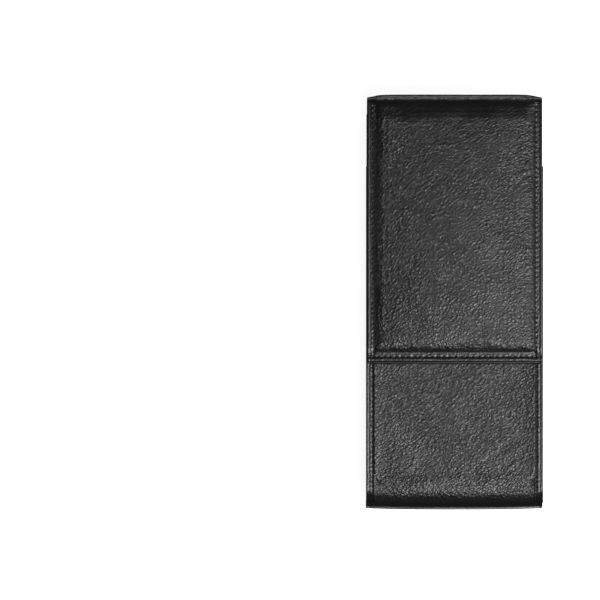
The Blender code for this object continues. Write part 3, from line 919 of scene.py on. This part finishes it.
def flap_relief(x, along):
    """The flap's flat stitched margin, the slope up to its pad, and the pad's crown."""
    end = FLAP_PATH.length
    inset = pad_inset(x, along)
    height = RISE - FOLD_SKIVE + (PAD_RISE - RISE + FOLD_SKIVE) * top_climb(along)
    gathers = unevenness(x, along, 9.0, 0.9, 2.2) + unevenness(x, along, 4.2, 0.45, 6.4)
    width = FLAP_SLOPE + END_SLOPE_MORE * smooth((along - end + FLAP_END_MARGIN + 12.0) / 7.0)
    slope = swelling((inset + gathers * smooth(inset / 2.5)) / width)
    swell = sample(PAD_SWELL, PAD_GRID_X, PAD_GRID_S, x, along)
    over_pad = smooth((along - FOLD_END) / FLAP_SLOPE)
    fall = END_FALL * np.clip(1 - (end - along) / 55.0, 0, 1) ** 2.2
    raised = (height - PAD_SLACK * over_pad) * slope + (PAD_CROWN * swell - fall) * slope * over_pad
    on_side = (along > FOLD_END) & (along < end - EDGE_SEAM + 0.4)
    seam = stitch_line(np.abs(x) - (TOP_HALF - SIDE_SEAM), along, end - EDGE_SEAM, SIDE_PITCH, on_side)
    on_end = np.abs(x) < TOP_HALF - SIDE_SEAM + 0.4
    edge_seam = stitch_line(along - (end - EDGE_SEAM), x, 0.0, EDGE_PITCH, on_end)
    swell = unevenness(x, along, 17.0, 0.07, 7.7) * slope
    creases = sum(wrinkle(x, along, *place) for place in FLAP_WRINKLES)
    side_bead = 0.4 * edge_bead(TOP_HALF - np.abs(x)) * (along > FOLD_END)
    bead = creases + 1.1 * edge_bead(end - along) - margin_dip(along) + side_bead
    return raised - np.maximum(seam, edge_seam) + swell + bead


def flap_under(x, along):
    """The inner side of the flap's leather, which skiving leaves as it is."""
    return flap_relief(x, along) + FOLD_SKIVE * (1 - top_climb(along)) + margin_dip(along)


def flap_sway(x, along):
    return top_bow(x) * smooth((FOLD_END - along) / 3.0)


FLAP = Skin(FLAP_PATH, TOP_HALF, flap_relief, flap_under, flap_sway, round_ends=(False, True), end_round=0.8)


def flap_piece():
    """The flap's leather with the upper half of the spine, turned round the flap fold."""
    zones = ((FOLD_END - 5, FOLD_END + 5), (FLAP_PATH.length - 6.6, FLAP_PATH.length))
    rows = with_edges(spaced(FLAP_PATH.length, COARSE, zones), 0, FLAP_PATH.length, (False, True))
    piece = FLAP.build("flap_leather_skin", columns(TOP_HALF, 6.6), rows, shut=(False, True), calm=flap_calm)
    capped(grained(piece))
    finish(piece, NAPPA)
    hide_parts("flap_leather", "spine_leather")
    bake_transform(piece)


# --- The pocket ---


POCKET_RIM = Z_POCKET - RISE
ROLL_CENTRE = (Y_WALL + BOTTOM_ROLL, Z_POCKET - BOTTOM_ROLL)
FOOT_TOP = RISE + LEATHER + 0.2 + LEATHER
POCKET_PATH = Path(Y_MOUTH, Z_LIP, 90)
POCKET_PATH.line(POCKET_RIM - MOUTH_TURN - Z_LIP).turn(MOUTH_TURN, 90)
FRONT_START = POCKET_PATH.length
POCKET_PATH.line(Y_MOUTH - MOUTH_TURN - ROLL_CENTRE[0])
FRONT_END = POCKET_PATH.length
POCKET_PATH.turn(BOTTOM_ROLL - RISE, 90)
ROLL_END = POCKET_PATH.length
POCKET_PATH.line(ROLL_CENTRE[1] - FOOT_TOP - FOOT_TURN)
WALL_END = POCKET_PATH.length
POCKET_PATH.turn(FOOT_TURN, -90).line(FOOT)
POCKET_CROWN = 0.3  # the front's bulge from the mouth to the bottom end
MOUTH_SINK = 0.5  # how far the flap has pressed the pocket in towards the mouth
POCKET_HOLLOW = 0.3  # its sag between the two sides
SHOULDER_LENGTH = 4.5
SHOULDER_DROP = 0.5
FOOT_DROOP = 0.55  # the foot's leather is skived thin towards its cut edge
MOUTH_SEAM_AT = FRONT_START + MOUTH_SEAM - MOUTH_TURN
POCKET_WRINKLES = (
    ((7, FRONT_END - 8), (28, FRONT_END - 20), 1.1, 0.12),
    ((14, FRONT_END - 6), (30, FRONT_END - 14), 0.9, 0.08),
    ((-29, FRONT_END - 30), (-16, FRONT_END - 40), 1.2, 0.05),
    ((29, FRONT_END - 3.5), (33, FRONT_END + 0.5), 0.5, 0.2),
)


def panel_inset(x, along):
    """Distance inside the step from the pocket's rim up to its panel."""
    return inset_in(POCKET_HALF - RIM, FRONT_START + 0.1, WALL_END - 0.2, PANEL_CORNER, x, along)


def pocket_under(x, along):
    """The inner side of the pocket's leather, which lies flat on the boards and the back's rim."""
    skived = smooth((along - FRONT_END + 2.0) / 3.0) * smooth((ROLL_END + 3.0 - along) / 3.0)
    return RISE * smooth(panel_inset(x, along) / PANEL_STEP) + ROLL_SKIVE * skived


def shoulder(x, along):
    """The front starts to fall a little before the bottom end's roll, with small gathers."""
    gathers = unevenness(x, along, 7.0, 1.6, 4.6) + unevenness(x, along, 3.5, 0.7, 2.8)
    corner = 2.4 * smooth((np.abs(x) - POCKET_HALF + RIM + 4.5) / 4.5)
    share = np.clip((along + gathers + corner - FRONT_END + SHOULDER_LENGTH) / SHOULDER_LENGTH, 0, 1)
    back = smooth((ROLL_END - along) / (ROLL_END - FRONT_END))
    return SHOULDER_DROP * share**2 * back


def pocket_relief(x, along):
    """The pocket's pressed panel, from the mouth down the front and round the bottom end."""
    inset = panel_inset(x, along)
    raised = RISE * smooth(inset / PANEL_STEP)
    on_rim = (along > FRONT_START + 0.6) & (along < FRONT_END + 2.0)
    rim_seam = stitch_line(np.abs(x) - (POCKET_HALF - SIDE_SEAM), along, FRONT_END, SIDE_PITCH, on_rim)
    on_mouth = np.abs(x) < POCKET_HALF - RIM - 1.4
    mouth_seam = stitch_line(along - MOUTH_SEAM_AT, x, 0.0, EDGE_PITCH, on_mouth)
    middle = (FRONT_START + FRONT_END) / 2
    share_s = np.clip((along - middle) / ((FRONT_END - FRONT_START) / 2), -1, 1)
    bow = POCKET_CROWN * (crown(0 * x, share_s) - 1) * smooth(inset / 5.0)
    hollow = POCKET_HOLLOW * (1 - np.abs(x / (POCKET_HALF - RIM)) ** 3) * smooth(inset / 2.0)
    swell = (unevenness(x, along, 15.0, 0.06, 1.9) - 0.03) * smooth(inset / 5.0)
    sunk = MOUTH_SINK * np.clip((FRONT_END - along) / (FRONT_END - FRONT_START), 0, 1) ** 1.3
    swell = swell - sunk * smooth(inset / 5.0)
    front = smooth((FRONT_END - along) / 6.0) * smooth((along - FRONT_START - 3) / 6.0)
    creases = sum(wrinkle(x, along, *place) for place in POCKET_WRINKLES) * smooth(inset / 1.0)
    bead = 0.5 * edge_bead(POCKET_HALF - np.abs(x)) * (along > FRONT_START)
    droop = FOOT_DROOP * smooth((along - WALL_END - 0.6) / 1.4)
    raised = raised - shoulder(x, along) * smooth(inset / 1.0) - droop + bead
    return raised - np.maximum(rim_seam, mouth_seam) + (bow - hollow + swell) * front + creases


def pocket_sway(x, along):
    """The bow of the bottom end, seen from above."""
    return -bottom_bow(x, POCKET_HALF) * smooth((along - FRONT_END) / (ROLL_END - FRONT_END))


POCKET = Skin(POCKET_PATH, POCKET_HALF, pocket_relief, pocket_under, pocket_sway)


def pocket_calm(x, along):
    """The grain is stretched shallow round the bottom end and over the mouth's edge."""
    over_roll = smooth((along - FRONT_END) / 6.0)
    over_mouth = smooth((FRONT_START + 0.5 - along) / 1.0)
    panel = smooth((POCKET_HALF - RIM + 0.4 - np.abs(x)) / 0.8)
    return (1 - 0.5 * over_roll) * (1 - 0.4 * over_mouth) * (MARGIN_GRAIN + (1 - MARGIN_GRAIN) * panel)


def pocket_piece():
    """The pocket's front and bottom end, turned in over the mouth and out onto the back's rim."""
    zones = ((0, FRONT_START + 5), (FRONT_END - 4, FRONT_END + 7), (WALL_END - 2, POCKET_PATH.length))
    rows = with_edges(spaced(POCKET_PATH.length, COARSE, zones), 0, POCKET_PATH.length)
    across = columns(POCKET_HALF, 4.4)
    piece = POCKET.build("pocket_leather_skin", across, rows, flat_shift=150, calm=pocket_calm)
    grained(piece)
    finish(piece, NAPPA)
    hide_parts("pocket_leather")
    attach(piece, "case")


# --- Stitches ---


STITCH_RINGS = 9
STITCH_SIDES = 8
STITCH_SLANT = math.radians(7)
STITCH_GAP = 0.12  # between the ends of two stitches in one hole


def add_stitch(verts, faces, flat, skin, middle, direction, length, through=0.0):
    """One stitch: it rises out of its hole, lies in the groove and dips into the next hole.

    With a depth to go through, it is the stitch of the other thread, on the inner side.
    """
    first = len(verts)
    x0, along0 = middle
    turn = math.cos(STITCH_SLANT), math.sin(STITCH_SLANT)
    step = (direction[0] * turn[0] - direction[1] * turn[1], direction[0] * turn[1] + direction[1] * turn[0])
    up = skin.normal(along0)
    base = skin.place(x0, along0, GROOVE_DEPTH)
    ahead = skin.place(x0 + step[0] * 0.5, along0 + step[1] * 0.5, 0) - skin.place(x0, along0, 0)
    ahead = (ahead - up * ahead.dot(up)).normalized()
    side = ahead.cross(up)
    if through:
        base = base - up * (through - GROOVE_DEPTH)
        up = -up
    for ring in range(STITCH_RINGS):
        t = 2 * ring / (STITCH_RINGS - 1) - 1
        lift = THREAD_RADIUS * (0.35 - 2.1 * abs(t) ** 3.2)
        radius = THREAD_RADIUS * (1 - 0.35 * t**4)
        centre = base - up * GROOVE_DEPTH + ahead * (t * length / 2) + up * lift
        for i in range(STITCH_SIDES):
            angle = 2 * math.pi * i / STITCH_SIDES
            verts.append(centre + (side * math.cos(angle) + up * math.sin(angle)) * radius)
            flat.append((t * length / 2 + x0 * 3.1, along0 * 1.7 + angle * THREAD_RADIUS, 0))
    faces += ring_faces(STITCH_RINGS, STITCH_SIDES, first)
    last = first + (STITCH_RINGS - 1) * STITCH_SIDES
    faces.append(tuple(first + i for i in reversed(range(STITCH_SIDES))))
    faces.append(tuple(last + i for i in range(STITCH_SIDES)))


def seam_piece(run, skin, middles, direction, pitch, body, through=0.0):
    """A row of stitches that stands for one of the CAD's seam strips."""
    verts, faces, flat = [], [], []
    for middle in middles:
        for depth in (0.0, through) if through else (0.0,):
            add_stitch(verts, faces, flat, skin, middle, direction, pitch - STITCH_GAP, depth)
    piece = add_mesh(f"{run}_stitches", [tuple(v) for v in verts], faces, (("flat", np.array(flat)),))
    finish(piece, THREAD)
    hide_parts(f"{run}_seam")
    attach(piece, body)


def stitches_between(low, high, start, pitch):
    """Middles of the stitches whose holes lie at whole pitches from start."""
    first = math.ceil((low - start) / pitch)
    last = math.floor((high - start) / pitch)
    return [start + (i + 0.5) * pitch for i in range(first, last)]


FLAP_THROUGH = Z_MARGIN - COVER_LOW.z  # from the margin's outer face to the lining's inner face


def seams():
    """The rows down both sides of the three skins, and those across the flap's end and the mouth."""
    flap_end = FLAP_PATH.length - EDGE_SEAM
    front = (FRONT_START + 0.8, FRONT_END + 1.0, FRONT_END)
    side_runs = (
        ("front", POCKET, POCKET_HALF - SIDE_SEAM, front, "case", 0.0),
        ("back", BACK, TOP_HALF - BACK_SEAM, (RIM, BACK_FLAT - 0.4, RIM), "case", 0.0),
        ("flap", FLAP, TOP_HALF - SIDE_SEAM, (FOLD_END + 0.3, flap_end, flap_end), "flap", FLAP_THROUGH),
    )
    for side, word in ((-1, "left"), (1, "right")):
        for run, skin, half, span, body, through in side_runs:
            middles = [(side * half, along) for along in stitches_between(*span, SIDE_PITCH)]
            seam_piece(f"{word}_{run}", skin, middles, (0, 1), SIDE_PITCH, body, through)
    reach = TOP_HALF - SIDE_SEAM + 0.5
    middles = [(x, flap_end) for x in stitches_between(-reach, reach, 0.0, EDGE_PITCH)]
    seam_piece("flap_edge", FLAP, middles, (1, 0), EDGE_PITCH, "flap", FLAP_THROUGH)
    reach = POCKET_HALF - RIM - 1.6
    middles = [(x, MOUTH_SEAM_AT) for x in stitches_between(-reach, reach, 0.0, EDGE_PITCH)]
    seam_piece("mouth", POCKET, middles, (1, 0), EDGE_PITCH, "case")


# --- Gussets, facing and dividers ---


GUSSET_VOXEL = 0.32
GUSSET_BOW = 0.45


def soft_copy(name, node, voxel, smoothing=3):
    """A copy of a CAD node with the softened edges of cut leather: remeshed evenly, then relaxed."""
    mesh = frame["nodes"][node].data.copy()
    mesh.name = name
    made = linked(name, mesh)
    remesh = made.modifiers.new("remesh", "REMESH")
    remesh.mode = "VOXEL"
    remesh.voxel_size = voxel * MM
    relax = made.modifiers.new("relax", "SMOOTH")
    relax.iterations = smoothing
    relax.factor = 0.5
    applied(made)
    made.data.shade_smooth()
    return made


def store_flat(piece, across, along, grain):
    """Stores the flat places on a piece, and one strength of grain all over it."""
    count = len(across)
    flat = np.stack((across, along, 0 * across), axis=1)
    for label, values in (("flat", flat), ("grain", np.full(count, grain)), ("edge", np.zeros(count))):
        store(piece.data, label, values)


def points_of(piece):
    """A piece's points, in millimetres."""
    flat = np.empty(len(piece.data.vertices) * 3)
    piece.data.vertices.foreach_get("co", flat)
    return flat.reshape(-1, 3) / MM


def gusset_piece(side, word):
    """A side wall of leather, bowed a little outwards between its two sewn flanges."""
    node = f"{word}_gusset"
    piece = soft_copy(f"{word}_gusset_skin", node, GUSSET_VOXEL)
    points = points_of(piece)
    low, high = corners(node)
    share = (points[:, 2] - low.z) / (high.z - low.z) * 2 - 1
    ends = smooth((points[:, 1] - low.y - 2) / 8) * smooth((high.y - points[:, 1]) / 14)
    web = smooth((POCKET_HALF - 1.2 - np.abs(points[:, 0])) / 2.2)
    points[:, 0] += side * GUSSET_BOW * np.clip(1 - share**2, 0, 1) * ends * web
    piece.data.vertices.foreach_set("co", (points * MM).ravel())
    store_flat(piece, points[:, 2] + np.abs(points[:, 0]), points[:, 1] + side * 300, 0.7)
    grained(piece)
    finish(piece, NAPPA)
    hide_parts(node)
    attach(piece, "case")


def facing_piece():
    """The strip of leather inside the mouth."""
    piece = soft_copy("mouth_facing_skin", "mouth_facing", 0.16, smoothing=2)
    points = points_of(piece)
    store_flat(piece, points[:, 0], points[:, 1] + 900, 0.6)
    finish(piece, NAPPA)
    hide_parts("mouth_facing")
    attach(piece, "case")


def divider_piece(word):
    """A stiff wall between two pen channels, covered with the lining."""
    piece = soft_copy(f"{word}_divider_wall", f"{word}_divider", 0.3)
    points = points_of(piece)
    store_flat(piece, points[:, 1], points[:, 2], 0.0)
    finish(piece, TWILL)
    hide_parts(f"{word}_divider")
    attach(piece, "case")


# --- Linings ---


LINING_PITCH = 0.9


def lining_relief(seed):
    """The slight ripple of cloth glued over a board. It only sinks, so it stays off its neighbours."""

    def relief(x, along):
        return -np.abs(unevenness(x, along, 9.0, 0.05, seed))

    return relief


def lining_piece(name, path, half_width, shut, seed):
    """A sheet of lining glued along a path, with the flat size that it was cut to."""
    skin = Skin(path, half_width, lining_relief(seed), thickness=LINING)
    across = columns(half_width, 1.0, LINING_PITCH)
    rows = with_edges(spaced(path.length, LINING_PITCH / 2), 0, path.length, shut)
    piece = skin.build(name, across, rows, shut=shut, grain=0.0)
    finish(capped(piece), TWILL)
    return piece


def linings():
    """The cloth inside the back and spine, inside the flap, and inside the pocket's front."""
    path = Path(FLOOR_LOW.y, FLOOR_LOW.z, 0)
    path.line(BACK_CENTRE[0] - FLOOR_LOW.y).turn(BACK_FOLD - FLOOR_LOW.z, 90).line(MID_SPINE - BACK_FOLD)
    floor = lining_piece("back_lining_cloth", path, FLOOR_HIGH.x, (True, False), 11.3)
    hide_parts("back_lining", "spine_lining")
    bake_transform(floor)

    radius = COVER_HIGH.z - FLAP_CENTRE[1]
    path = Path(FLAP_CENTRE[0] + radius, MID_SPINE, 90)
    path.line(FLAP_CENTRE[1] - MID_SPINE).turn(radius, 90).line(FLAP_CENTRE[0] - COVER_LOW.y)
    cover = lining_piece("flap_lining_cloth", path, COVER_HIGH.x, (False, True), 5.9)
    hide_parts("flap_lining", "spine_lining")
    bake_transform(cover)

    radius = INNER_HIGH.z - ROLL_CENTRE[1]
    path = Path(INNER_HIGH.y, INNER_HIGH.z, 180)
    path.line(INNER_HIGH.y - ROLL_CENTRE[0]).turn(radius, 90).line(ROLL_CENTRE[1] - INNER_LOW.z)
    front = lining_piece("pocket_lining_cloth", path, INNER_HIGH.x, (True, True), 8.4)
    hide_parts("pocket_lining")
    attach(front, "case")


# --- Foam and hidden boards ---


def foam_piece():
    """The foam pad under the flap's leather, softened at its cut edges."""
    piece = soft_copy("flap_foam_pad", "flap_pad", 0.3, smoothing=4)
    finish(piece, FOAM)
    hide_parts("flap_pad")
    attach(piece, "flap")


def dress_cad_nodes():
    """Gives the boards, magnets and keeper plates that stay as CAD their procedural materials."""
    by_slot = {"board": BOARD, "steel": STEEL, "lining": TWILL_BOARD}
    for part in frame["record"]["subparts"]:
        node = bpy.data.objects.get(part["node"])
        material = by_slot.get(part["material_slot"])
        if node and material and not node.hide_render:
            for place in node.material_slots:
                place.material = material


# --- Floor, lights and camera ---


FLOOR_HALF = 1500.0
REFLECTED_FLOOR = 0.045
WORLD_STRENGTH = 0.045
FRAME_WIDTH = 233.4  # width of the view at the case's front face
FOCAL = 900.0
SENSOR = 36.0
CASE_IN_FRAME = (60.2, -0.8)  # how far right of and above the view's middle the case lies


def floor_plane(name, height, material):
    corners_xy = ((-1, -1), (1, -1), (1, 1), (-1, 1))
    verts = [(x * FLOOR_HALF, y * FLOOR_HALF, height) for x, y in corners_xy]
    plane = add_mesh(name, verts, [(0, 1, 2, 3)])
    plane.data.materials.append(material)
    return plane


def floor():
    """A pale studio floor, just under the case."""
    made, nodes, shader = new_material("studio_floor")
    mottle = nodes.noise(object_millimetres(nodes), 0.01, detail=3.0)
    nodes.feed(shader.inputs["Base Color"], nodes.blend(mottle, (0.6, 0.6, 0.6), (0.64, 0.64, 0.64)))
    shader.inputs["Roughness"].default_value = 0.9
    shader.inputs["Emission Color"].default_value = (1.0, 1.0, 1.0, 1.0)
    shader.inputs["Emission Strength"].default_value = 0.9
    plane = floor_plane("studio_floor", -0.05, made)
    plane.visible_glossy = False


def reflected_floor():
    """A dim floor that only reflections see, because the studio's floor falls off into shadow."""
    made, nodes, shader = new_material("reflected_floor")
    mottle = nodes.noise(object_millimetres(nodes), 0.01, detail=3.0)
    nodes.feed(shader.inputs["Emission Color"], nodes.blend(mottle, (0.9, 0.9, 0.9), (1.0, 1.0, 1.0)))
    shader.inputs["Emission Strength"].default_value = REFLECTED_FLOOR
    shader.inputs["Base Color"].default_value = (0.0, 0.0, 0.0, 1.0)
    shader.inputs["Roughness"].default_value = 1.0
    plane = floor_plane("reflected_floor", -0.1, made)
    plane.visible_camera = False
    plane.visible_diffuse = False
    plane.visible_shadow = False


def area_light(name, place, target, size, radiance):
    """A soft rectangular light aimed at a point, of a radiance. Places and sizes are in millimetres."""
    data = bpy.data.lights.new(name, "AREA")
    data.shape = "RECTANGLE"
    data.size = size[0] * MM
    data.size_y = size[1] * MM
    data.energy = radiance * math.pi * size[0] * size[1] * MM * MM
    lamp = linked(name, data)
    lamp.location = Vector(place) * MM
    aim = Vector(target) - Vector(place)
    lamp.rotation_euler = aim.to_track_quat("-Z", "Y").to_euler()
    lamp.visible_camera = False


def lights():
    """One main softbox, whose edge lies where the flat leather would mirror it, and dim strips all round."""
    low = (900.0, 130.0)
    area_light("main_softbox", (150, -184, 480), (70, -117, 0), (320.0, 195.0), 18.8)
    area_light("right_strip", (560, -120, 480), (30, -60, 15), (300.0, 500.0), 5.0)
    area_light("low_back_strip", (0, 900, 120), (0, 80, 15), low, 7.5)
    area_light("low_front_strip", (0, -800, 110), (0, -80, 10), low, 0.4)
    area_light("low_left_strip", (-800, 0, 110), (-35, 0, 10), low, 2.2)
    area_light("low_right_strip", (800, 0, 110), (35, 0, 10), low, 2.2)
    world = bpy.data.worlds.new("studio")
    world.use_nodes = True
    background = world.node_tree.nodes["Background"]
    background.inputs["Color"].default_value = (1.0, 1.0, 1.0, 1.0)
    background.inputs["Strength"].default_value = WORLD_STRENGTH
    bpy.context.scene.world = world
    bpy.context.scene.view_settings.view_transform = "Standard"


def camera():
    data = bpy.data.cameras.new("camera")
    data.lens = FOCAL
    data.sensor_width = SENSOR
    data.clip_end = 20
    eye = linked("camera", data)
    distance = FRAME_WIDTH * FOCAL / SENSOR
    eye.location = Vector((-CASE_IN_FRAME[0], -CASE_IN_FRAME[1], Z_PAD + distance)) * MM
    bpy.context.scene.camera = eye


def main():
    camera()
    lights()
    floor()
    reflected_floor()
    back_piece()
    flap_piece()
    pocket_piece()
    for side, word in ((-1, "left"), (1, "right")):
        gusset_piece(side, word)
    facing_piece()
    for word in ("left", "right"):
        divider_piece(word)
    linings()
    foam_piece()
    seams()
    dress_cad_nodes()


main()
